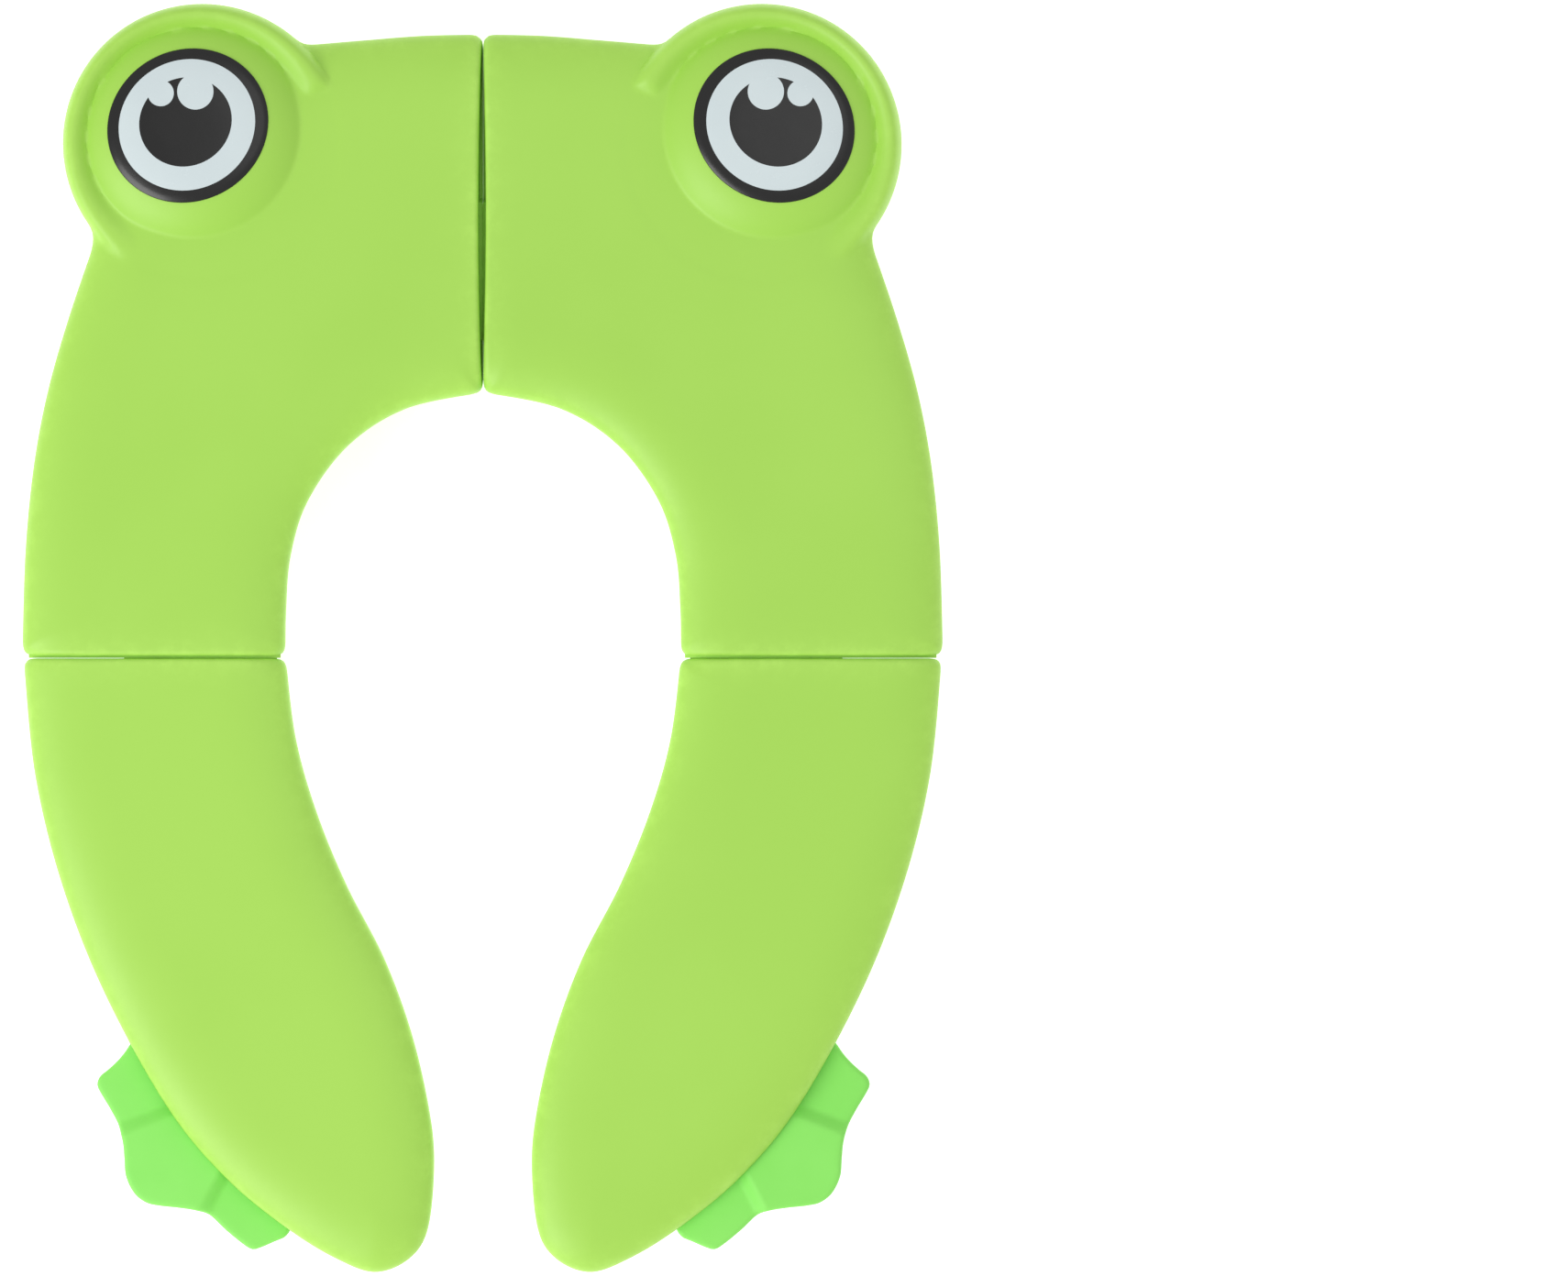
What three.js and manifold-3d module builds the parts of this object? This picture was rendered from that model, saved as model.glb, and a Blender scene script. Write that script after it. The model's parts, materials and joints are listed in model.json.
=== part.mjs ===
// Folding toilet training seat in the shape of a frog: four shells round an oval opening,
// with soft feet, printed eyes and anti-slip pads. Millimetres, +Z up, +Y towards the eyes.
// The origin is on the middle seam, halfway along the seat, at the soles of the pads.
import * as THREE from 'three';
import { mergeVertices } from 'three/addons/utils/BufferGeometryUtils.js';
import Module from 'manifold-3d';

const wasm = await Module();
wasm.setup();

// ---- driving dimensions ----
const fitGap = 0.3; // between pieces that touch
const wall = 2; // thickness of the moulded shells
const skirtZ = 3.2; // lower edge of the shells
const crownZ = 14.5; // top of the seat
const roll = { width: 5, height: 5, steps: 3 }; // rounding of the shells' upper edges

const hinge = { y: -5.6, z: 2.6, barrel: 2.2, bore: 1.35, pin: 1, inner: 62, outer: 108, knuckles: 5 };
const reach = 3.2; // from the hinge axis to the root of a knuckle's arm
const hingeClear = 0.5; // round a knuckle where it turns past the other shell

const spine = { pivotX: 12.4, z: 2.6, front: 89.4, back: 130.9, barrel: 2.2, pockets: 5, floor: 1.6 };
const spineLug = { thick: 3, round: 2.4 };
const spineRung = 2; // between the pockets of the link
const spineNotch = { halfWidth: 4, side: 0.8, above: 0.6 }; // room for the link under the middle seam
const middleSeam = { end: 0.2, bow: 0.95, front: 73.8, back: 181 };

const lobe = { x: 83.6, y: 148, radius: 42, from: 135, to: -40 };
const rim = { z: 16.4, round: 3, slope: 0.09, uphill: 61 };
const dome = { x: 86.8, y: 152.2, radius: 32.6, z: 14.4, rise: 7, power: 4, rings: 10 };
const eye = { x: 87.4, y: 152.8, long: 24.4, short: 22.6, lean: -29, thick: 0.4 };

const foot = { bottom: 2.4, toe: 4, middleToe: 6.2 };
const pad = { radius: 8, taper: 0.8, height: 3, boss: 6 };
const pinShort = 0.5; // how far a pin's end stays inside its knuckle
const rib = { thick: 1.6, bottom: 9.5, length: 230 };
const room = 200; // half the size of a block that cuts away all on one side
const latheSides = 44;

const rearPads = [[35, 150], [108, 30]];
const frontPads = [[50, -125], [100, -90]];
const rearRibs = { from: [0, 0], angles: [24, 44, 64, 80] };
const frontRibs = { from: [0, -20], angles: [-20, -42, -60, -75] };

// Outlines of the right half, in order round each shell.
const rearInner = [[59.4, -5.2], [59.2, 8.7], [57.8, 25], [52.5, 41.6], [40.3, 58.1], [23, 69], [0.2, 73.8]];
const rearOuter = [
  [116.4, 118.6], [123.9, 96.6], [130.2, 74.6], [134.4, 52.6], [136.9, 28], [137.8, 2], [137.7, -5.2],
];
const frontEdge = [
  [59.3, -6], [56.3, -30], [50.1, -52], [41.1, -74], [29.8, -96], [21.7, -118], [16.5, -140],
  [14.7, -157], [16.5, -177], [22, -186], [32, -190], [43, -186.4],
  [57.6, -177.6], [76.5, -162.2], [94.1, -141.1], [113.1, -106.8], [126, -74], [134.1, -41], [137.6, -6],
];
const footEdge = [
  [105.9, -121.3], [111, -127.8], [116.2, -134.5],
  [112.6, -141.6], [109.5, -147.4], [107.7, -157.2], [105.7, -166.1],
  [98.4, -171.6], [90.2, -172.2], [83.2, -174.3],
  [77.8, -178.3], [73.2, -183], [68.2, -185.4], [63.9, -182.7],
  [57.6, -178],
];
const footRoot = [[60, -164], [74, -148], [88, -130], [97, -116]];
const middleToeEdge = [[84, -135], [93.5, -143.5], [116, -146.8], [116, -178], [84.5, -178], [74, -157]];

// ---- materials ----
const finish = (color, roughness, metalness = 0) =>
  new THREE.MeshStandardMaterial({ color, roughness, metalness });
const shellGreen = finish(0xabdc5f, 0.4);
const hingeGreen = finish(0x92d145, 0.45);
const footGreen = finish(0x97f378, 0.6);
const eyePrint = finish(0x3b3b39, 0.25);
const padSilicone = finish(0xe8efe2, 0.7);
const pinSteel = finish(0xb9bcc0, 0.3, 1);

// ---- joining and cutting ----
function solidOf(geometry) {
  const bare = geometry.clone();
  bare.deleteAttribute('normal');
  bare.deleteAttribute('uv');
  const merged = mergeVertices(bare);
  const triVerts = [];
  for (let i = 0; i < merged.index.count; i += 3) {
    const [a, b, c] = [0, 1, 2].map((k) => merged.index.getX(i + k));
    if (a !== b && b !== c && c !== a) triVerts.push(a, b, c);
  }
  const vertProperties = new Float32Array(merged.attributes.position.array);
  const mesh = new wasm.Mesh({ numProp: 3, vertProperties, triVerts: new Uint32Array(triVerts) });
  return new wasm.Manifold(mesh);
}

function geometryOf(solid) {
  const { numProp, vertProperties, triVerts } = solid.getMesh();
  const positions = [];
  for (let i = 0; i < vertProperties.length; i += numProp) {
    positions.push(vertProperties[i], vertProperties[i + 1], vertProperties[i + 2]);
  }
  const geometry = new THREE.BufferGeometry();
  geometry.setAttribute('position', new THREE.Float32BufferAttribute(positions, 3));
  geometry.setIndex(Array.from(triVerts));
  geometry.computeVertexNormals();
  return geometry;
}

const joined = (solids) => solids.reduce((whole, solid) => whole.add(solid));

// ---- plain shapes; side is 1 for the right half of the seat and -1 for the left ----
const onSide = (side, points) => points.map(([x, y]) => new THREE.Vector2(side * x, y));
const smooth = (side, points, count) => new THREE.SplineCurve(onSide(side, points)).getSpacedPoints(count);
const radians = THREE.MathUtils.degToRad;

function box(x0, x1, y0, y1, z0, z1) {
  const block = new THREE.BoxGeometry(Math.abs(x1 - x0), y1 - y0, z1 - z0);
  return solidOf(block.translate((x0 + x1) / 2, (y0 + y1) / 2, (z0 + z1) / 2));
}

function prism(points, z0, z1, grow = 0) {
  const bevel = { bevelEnabled: grow > 0, bevelSize: grow, bevelThickness: grow, bevelSegments: 1 };
  return new THREE.ExtrudeGeometry(new THREE.Shape(points), { depth: z1 - z0, ...bevel }).translate(0, 0, z0);
}

function post(x, y, radius, z0, z1, sides = 20) {
  const round = new THREE.CylinderGeometry(radius, radius, z1 - z0, sides).rotateX(Math.PI / 2);
  return solidOf(round.translate(x, y, (z0 + z1) / 2));
}

// A solid whose upper edges are rounded, standing on the skirt's plane, inset from the outline.
function domed(points, inset, top) {
  const rounding = {
    bevelSize: roll.width,
    bevelThickness: roll.height,
    bevelSegments: roll.steps,
    bevelOffset: -roll.width - inset,
  };
  const depth = top - skirtZ;
  const rounded = new THREE.ExtrudeGeometry(new THREE.Shape(points), { depth, ...rounding });
  const below = box(-room, room, -room, room, skirtZ - 2 * depth, skirtZ);
  return solidOf(rounded.translate(0, 0, skirtZ - roll.height)).subtract(below);
}

// ---- outlines ----
function rearOutline(side) {
  const { end, bow, front, back } = middleSeam;
  const bowed = (t) => [end + bow * Math.sin(Math.PI * t), front + t * (back - front)];
  const seam = [0.1, 0.3, 0.5, 0.7, 0.9].map(bowed);
  const brow = [[end, back], [18, 180.6], [36, 179.2]];
  const turns = [];
  const steps = 16;
  for (let i = 0; i <= steps; i += 1) {
    const angle = radians(lobe.from + (i / steps) * (lobe.to - lobe.from));
    turns.push([lobe.x + lobe.radius * Math.cos(angle), lobe.y + lobe.radius * Math.sin(angle)]);
  }
  return [
    ...smooth(side, rearInner, 14),
    ...onSide(side, [...seam, ...brow, ...turns]),
    ...smooth(side, rearOuter, 12),
  ];
}

const frontOutline = (side) => smooth(side, frontEdge, 46);
const footOutline = (side) => [...smooth(side, footEdge, 34), ...onSide(side, footRoot)];

// ---- side hinges: knuckles 0, 2 and 4 belong to the rear shell, 1 and 3 to the front one ----
function knuckleSpan(index) {
  const pitch = (hinge.outer - hinge.inner) / hinge.knuckles;
  const start = hinge.inner + index * pitch;
  return [start + fitGap / 2, start + pitch - fitGap / 2];
}

function knuckle(side, index, toRear) {
  const section = new THREE.Shape();
  const arm = toRear ? reach : -reach;
  section.absarc(0, 0, hinge.barrel, Math.PI / 2, toRear ? 2 * Math.PI : -Math.PI, !toRear);
  section.lineTo(arm, 0);
  section.lineTo(arm, hinge.barrel);
  const [x0, x1] = knuckleSpan(index);
  const length = x1 - x0;
  const lug = new THREE.ExtrudeGeometry(section, { depth: length, bevelEnabled: false, curveSegments: 7 });
  // The section's first axis becomes Y and its second Z, and its depth runs along X.
  lug.applyMatrix4(new THREE.Matrix4().makeBasis(
    new THREE.Vector3(0, 1, 0), new THREE.Vector3(0, 0, 1), new THREE.Vector3(1, 0, 0),
  ));
  return solidOf(lug.translate(side > 0 ? x0 : -x1, hinge.y, hinge.z));
}

function fitSideHinge(shell, side, toRear) {
  const clear = hinge.barrel + hingeClear;
  let fitted = shell;
  for (let index = 0; index < hinge.knuckles; index += 1) {
    if ((index % 2 === 0) === toRear) {
      fitted = fitted.add(knuckle(side, index, toRear));
    } else {
      const [x0, x1] = knuckleSpan(index);
      const [left, right] = side > 0 ? [x0 - fitGap, x1 + fitGap] : [-x1 - fitGap, -x0 + fitGap];
      const [near, far] = toRear ? [hinge.y - clear, hinge.y + reach] : [hinge.y - reach, hinge.y + clear];
      fitted = fitted.subtract(box(left, right, near, far, 0, hinge.z + clear));
    }
  }
  const length = hinge.outer - hinge.inner + 1;
  const bore = new THREE.CylinderGeometry(hinge.bore, hinge.bore, length, 16).rotateZ(Math.PI / 2);
  return fitted.subtract(solidOf(bore.translate(side * (hinge.inner + hinge.outer) / 2, hinge.y, hinge.z)));
}

// ---- middle hinge: two lugs under each rear shell hold a pin, and a link joins the two pins ----
function spineLugs(side) {
  const section = new THREE.Shape();
  section.moveTo(-spineLug.round, crownZ - wall / 2 - spine.z);
  section.lineTo(-spineLug.round, 0);
  section.absarc(0, 0, spineLug.round, Math.PI, 2 * Math.PI, false);
  section.lineTo(spineLug.round, crownZ - wall / 2 - spine.z);
  section.holes.push(new THREE.Path().absarc(0, 0, hinge.bore, 0, 2 * Math.PI));
  return [spine.front - fitGap, spine.back + fitGap + spineLug.thick].map((y) => {
    const lug = new THREE.ExtrudeGeometry(section, {
      depth: spineLug.thick,
      bevelEnabled: false,
      curveSegments: 7,
    });
    return solidOf(lug.rotateX(Math.PI / 2).translate(side * spine.pivotX, y, spine.z));
  });
}

function spineLinkGeometry() {
  const section = new THREE.Shape();
  section.absarc(-spine.pivotX, 0, spine.barrel, Math.PI / 2, 1.5 * Math.PI, false);
  section.absarc(spine.pivotX, 0, spine.barrel, 1.5 * Math.PI, 2.5 * Math.PI, false);
  for (const x of [-spine.pivotX, spine.pivotX]) {
    section.holes.push(new THREE.Path().absarc(x, 0, hinge.bore, 0, 2 * Math.PI));
  }
  const length = spine.back - spine.front;
  const bar = new THREE.ExtrudeGeometry(section, { depth: length, bevelEnabled: false, curveSegments: 7 });
  const link = solidOf(bar.rotateX(Math.PI / 2).translate(0, spine.back, spine.z));
  const pitch = length / spine.pockets;
  const halfWidth = spine.pivotX - spine.barrel - 1;
  const base = spine.z - spine.barrel + spine.floor;
  const pockets = Array.from({ length: spine.pockets }, (_, i) => {
    const start = spine.front + i * pitch + spineRung / 2;
    return box(-halfWidth, halfWidth, start, start + pitch - spineRung, base, crownZ);
  });
  return geometryOf(link.subtract(joined(pockets)));
}

// ---- what the shells have in common ----
function ribsUnder(body, side, { from, angles }) {
  const blades = angles.map((angle) => {
    const blade = new THREE.BoxGeometry(rib.length, rib.thick, crownZ - rib.bottom);
    blade.translate(rib.length / 2, 0, (crownZ + rib.bottom) / 2);
    blade.rotateZ(side > 0 ? radians(angle) : Math.PI - radians(angle));
    return solidOf(blade.translate(side * from[0], from[1], 0));
  });
  return joined(blades).intersect(body);
}

const bossesUnder = (side, places) =>
  joined(places.map(([x, y]) => post(side * x, y, pad.boss, pad.height + fitGap, crownZ - wall / 2)));

// ---- eyes: a raised rim round each lobe, and a dome inside it for the printed disc ----
function turned(profile) {
  const points = profile.map(([r, z]) => new THREE.Vector2(r, z));
  return new THREE.LatheGeometry(points, latheSides).rotateX(Math.PI / 2);
}

// The rim's ring slopes up towards the outer rear.
function raisedRim(side) {
  const { radius } = lobe;
  const { z, round } = rim;
  const low = crownZ - roll.height;
  const chamfer = 0.3 * round;
  const profile = [
    [0, 0], [radius, 0], [radius, z - round], [radius - chamfer, z - chamfer], [radius - round, z], [0, z],
  ];
  const uphill = radians(rim.uphill);
  const shear = new THREE.Matrix4();
  shear.elements[2] = rim.slope * side * Math.cos(uphill);
  shear.elements[6] = rim.slope * Math.sin(uphill);
  const disc = solidOf(turned(profile).applyMatrix4(shear).translate(side * lobe.x, lobe.y, 0));
  return disc
    .subtract(box(-room, room, -room, room, -room, low))
    .subtract(post(side * dome.x, dome.y, dome.radius, dome.z, room, latheSides));
}

// The dome, raised by lift and cut to a smaller radius by shrink.
function domeSolid(side, lift, shrink = 0) {
  const { radius, z, rise, power, rings } = dome;
  const low = z + lift - wall;
  const profile = [[0, low], [radius - shrink, low]];
  for (let i = rings; i >= 0; i -= 1) {
    const r = (i / rings) * (radius - shrink);
    profile.push([r, z + lift + rise * (1 - (r / radius) ** power)]);
  }
  return solidOf(turned(profile).translate(side * dome.x, dome.y, 0));
}

// ---- the pieces ----
function rearShell(side) {
  const outline = rearOutline(side);
  const body = domed(outline, 0, crownZ);
  const hollow = domed(outline, wall, crownZ - wall).add(domeSolid(side, -wall, wall));
  const { halfWidth, side: ends, above } = spineNotch;
  const notchTop = spine.z + spine.barrel + above;
  const notch = box(-halfWidth, halfWidth, spine.front - ends, spine.back + ends, 0, notchTop);
  const shell = body
    .add(raisedRim(side))
    .add(domeSolid(side, 0))
    .subtract(hollow)
    .subtract(notch)
    .add(ribsUnder(body, side, rearRibs))
    .add(bossesUnder(side, rearPads))
    .add(joined(spineLugs(side)));
  return geometryOf(fitSideHinge(shell, side, true));
}

function frontShell(side) {
  const outline = frontOutline(side);
  const body = domed(outline, 0, crownZ);
  const footSlot = solidOf(prism(footOutline(side), foot.bottom, foot.middleToe, fitGap));
  const shell = body.subtract(domed(outline, wall, crownZ - wall))
    .add(ribsUnder(body, side, frontRibs))
    .add(bossesUnder(side, frontPads))
    .subtract(footSlot);
  return geometryOf(fitSideHinge(shell, side, false));
}

function footGrip(side) {
  const plate = solidOf(prism(footOutline(side), foot.bottom, foot.toe));
  const raised = solidOf(prism(footOutline(side), foot.bottom, foot.middleToe))
    .intersect(solidOf(prism(onSide(side, middleToeEdge), foot.bottom, foot.middleToe)));
  return geometryOf(plate.add(raised));
}

function eyeDisc(side) {
  const oval = new THREE.Shape();
  oval.absellipse(side * eye.x, eye.y, eye.long, eye.short, 0, 2 * Math.PI, false, radians(side * eye.lean));
  const column = new THREE.ExtrudeGeometry(oval, { depth: crownZ, bevelEnabled: false, curveSegments: 22 });
  return geometryOf(solidOf(column.translate(0, 0, dome.z))
    .intersect(domeSolid(side, fitGap + eye.thick))
    .subtract(domeSolid(side, fitGap)));
}

function pinGeometry(length) {
  return new THREE.CylinderGeometry(hinge.pin, hinge.pin, length, 12);
}

// ---- the assembly ----
const seat = new THREE.Group();

function place(name, geometry, material, x = 0, y = 0, z = 0) {
  const mesh = new THREE.Mesh(geometry, material);
  mesh.name = name;
  mesh.position.set(x, y, z);
  seat.add(mesh);
  return mesh;
}

for (const [word, side] of [['left', -1], ['right', 1]]) {
  place(`rear_${word}_shell`, rearShell(side), shellGreen);
  place(`front_${word}_shell`, frontShell(side), shellGreen);
  place(`${word}_foot_grip`, footGrip(side), footGreen);
  place(`${word}_eye_disc`, eyeDisc(side), eyePrint);

  const hingeMiddle = (hinge.inner + hinge.outer) / 2;
  const hingePin = pinGeometry(hinge.outer - hinge.inner - 2 * pinShort);
  const sidePin = place(`${word}_side_hinge_pin`, hingePin, pinSteel, side * hingeMiddle, hinge.y, hinge.z);
  sidePin.rotation.z = Math.PI / 2;
  const spineMiddle = (spine.front + spine.back) / 2;
  const spinePin = pinGeometry(spine.back - spine.front + 2 * spineLug.thick - pinShort);
  place(`${word}_spine_pin`, spinePin, pinSteel, side * spine.pivotX, spineMiddle, spine.z);

  [...rearPads, ...frontPads].forEach(([x, y], i) => {
    const sole = new THREE.CylinderGeometry(pad.radius, pad.radius - pad.taper, pad.height, 24);
    const name = `${i < rearPads.length ? 'rear' : 'front'}_${word}_pad_${(i % 2) + 1}`;
    place(name, sole, padSilicone, side * x, y, pad.height / 2).rotation.x = Math.PI / 2;
  });
}
place('spine_link', spineLinkGeometry(), hingeGreen);

export default seat;
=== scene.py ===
import json
import math

import bpy
import numpy as np
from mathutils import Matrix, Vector
from mathutils.geometry import delaunay_2d_cdt


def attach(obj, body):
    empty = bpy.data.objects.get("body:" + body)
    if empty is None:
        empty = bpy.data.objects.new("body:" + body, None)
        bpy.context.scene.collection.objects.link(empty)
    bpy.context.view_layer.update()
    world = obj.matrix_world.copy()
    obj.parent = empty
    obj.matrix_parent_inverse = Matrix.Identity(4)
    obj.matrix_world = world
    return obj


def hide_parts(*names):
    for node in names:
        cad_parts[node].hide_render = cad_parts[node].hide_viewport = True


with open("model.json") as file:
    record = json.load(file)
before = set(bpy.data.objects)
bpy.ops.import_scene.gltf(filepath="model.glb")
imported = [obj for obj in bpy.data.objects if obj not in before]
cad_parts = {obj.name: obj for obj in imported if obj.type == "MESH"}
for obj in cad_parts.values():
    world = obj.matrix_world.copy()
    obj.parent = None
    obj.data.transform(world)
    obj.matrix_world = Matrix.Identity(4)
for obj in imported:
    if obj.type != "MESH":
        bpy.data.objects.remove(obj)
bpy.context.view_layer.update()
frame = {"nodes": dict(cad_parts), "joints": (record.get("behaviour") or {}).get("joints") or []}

mm = 0.001  # lengths below are in millimetres, meshes in metres
joints = {joint["name"]: joint for joint in frame["joints"]}
print("frame loaded:", len(frame["nodes"]), "nodes")


def unit(vector):
    return vector / np.linalg.norm(vector)


# all shapes in plan are the right half's; the left half is their mirror image
shell = {
    "edgeZ": 8.2,  # where the rounded top turns into the upright skirt
    "crownZ": 14.4,
    "rollWidth": 24.0,
    "rollPower": 2.7,
    "skirtZ": 3.2,
    "ledge": 1.4,  # top of the middle seam's ledge, above the skirt's lower edge
    "wall": 2.0,
    "seamRadius": 1.3,
    "spacing": 1.3,  # mesh pitch along the outline
    "grid": 1.5,  # mesh pitch of the top, and how far in from the outline it starts
    "margin": 6.2,
    "roofGrid": 3.4,  # the same for the underside
    "roofMargin": 5.0,
    "roofRing": 3.2,
    "rubWidth": 3.2,  # how far wear and the painted edge highlight reach in from the edges
}
seam = {
    "middleEnd": 0.2,  # half the middle seam's gap at its ends, and how much wider it is halfway
    "middleBow": 0.95,
    "front": 73.8,
    "back": 181.0,
    "nearX": 4.5,
    "ledgeReach": 0.17,  # how far the ledge goes past the seam's ends, towards the centre plane
}
lobe = {"x": 83.6, "y": 148.0, "radius": 42.0, "from": -40.0, "to": 135.0}
rim = {
    "radius": 38.4,  # of its crest
    "outer": 3.6,
    "inner": 6.0,
    "z": 16.2,
    "slope": 0.1,
    "uphill": 61.0,
    "foot": 13.9,
    "from": -36.0,  # directions of its ends, and how long each end takes to sink in
    "to": 149.0,
    "fromEnd": 26.0,
    "toEnd": 7.0,
    "blend": 0.4,
    "edgeBand": 1.5,  # next to the outline the outer slope is left as it is
}
dome = {"x": 86.8, "y": 152.2, "radius": 32.6, "z": 14.3, "rise": 7.0, "power": 4.0, "blend": 0.5}

rearOuter = [
    (137.7, -5.2), (137.8, 2), (136.9, 28), (134.4, 52.6), (130.2, 74.6), (123.9, 96.6),
    (116.4, 118.6),
]
rearBrow = [(53.9, 177.7), (36, 179.2), (18, 180.6), (0.2, 181)]
rearInner = [
    (0.2, 73.8), (23, 69), (40.3, 58.1), (52.5, 41.6), (57.8, 25), (59.2, 8.7), (59.4, -5.2),
]
frontEdge = [
    (59.3, -6), (56.3, -30), (50.1, -52), (41.1, -74), (29.8, -96), (21.7, -118), (16.5, -140),
    (14.7, -157), (16.5, -177), (22, -186), (32, -190), (43, -186.4),
    (57.6, -177.6), (76.5, -162.2), (94.1, -141.1), (113.1, -106.8), (126, -74), (134.1, -41),
    (137.6, -6),
]
footEdge = [
    (57.6, -178), (59.4, -179.9), (62.9, -181.4), (66.6, -183), (69.4, -183.7), (72.4, -182),
    (77.5, -177.8), (82.2, -173.4), (85.8, -171.9), (91.3, -171), (96.9, -170.4), (101.2, -169.4),
    (104.8, -166.5), (107.2, -161.5), (107.7, -156), (108.2, -151.1), (109.6, -146.4),
    (112.2, -141.4), (115.2, -136.4), (116.1, -134), (115.2, -131.6), (112.9, -129.7), (110, -127),
    (107.5, -124), (105.9, -121.3),
]
footRoot = [(105.9, -121.3), (97, -116), (88, -130), (74, -148), (60, -164), (57.6, -178)]


def resample(points, count):
    points = np.array(points, float)
    along = np.concatenate([[0], np.cumsum(np.linalg.norm(np.diff(points, axis=0), axis=1))])
    stops = np.linspace(0, along[-1], count)
    return np.stack([np.interp(stops, along, points[:, k]) for k in (0, 1)], axis=1)


def smoothCurve(points, steps=40):
    # a curve through the points, as a dense polyline
    p = np.array([points[0], *points, points[-1]], float)
    t = np.linspace(0, 1, steps, endpoint=False)[:, None]
    spans = []
    for a, b, c, d in zip(p, p[1:], p[2:], p[3:]):
        bend = 2 * a - 5 * b + 4 * c - d + t * (3 * (b - c) + d - a)
        spans.append(b + 0.5 * t * (c - a + t * bend))
    return np.concatenate([*spans, p[-1:]])


def arc(x, y, radius, start, end, count=90):
    turn = np.radians(np.linspace(start, end, count))
    return np.stack([x + radius * np.cos(turn), y + radius * np.sin(turn)], axis=1)


def rearPlan():
    t = np.linspace(1, 0, 60)
    bow = seam["middleEnd"] + seam["middleBow"] * np.sin(np.pi * t)
    middle = np.stack([bow, seam["front"] + t * (seam["back"] - seam["front"])], axis=1)
    side = [(59.4, -5.2), (137.7, -5.2)]
    eye = arc(lobe["x"], lobe["y"], lobe["radius"], lobe["from"], lobe["to"])
    return [
        ("seam", resample(side, 200)), ("free", smoothCurve(rearOuter)), ("free", eye),
        ("free", smoothCurve(rearBrow)), ("seam", middle), ("free", smoothCurve(rearInner)),
    ]


def frontPlan():
    return [("seam", resample([(137.6, -6), (59.3, -6)], 200)), ("free", smoothCurve(frontEdge))]


def footPlan():
    return [("free", smoothCurve(footEdge)), ("free", smoothCurve(footRoot))]


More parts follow.
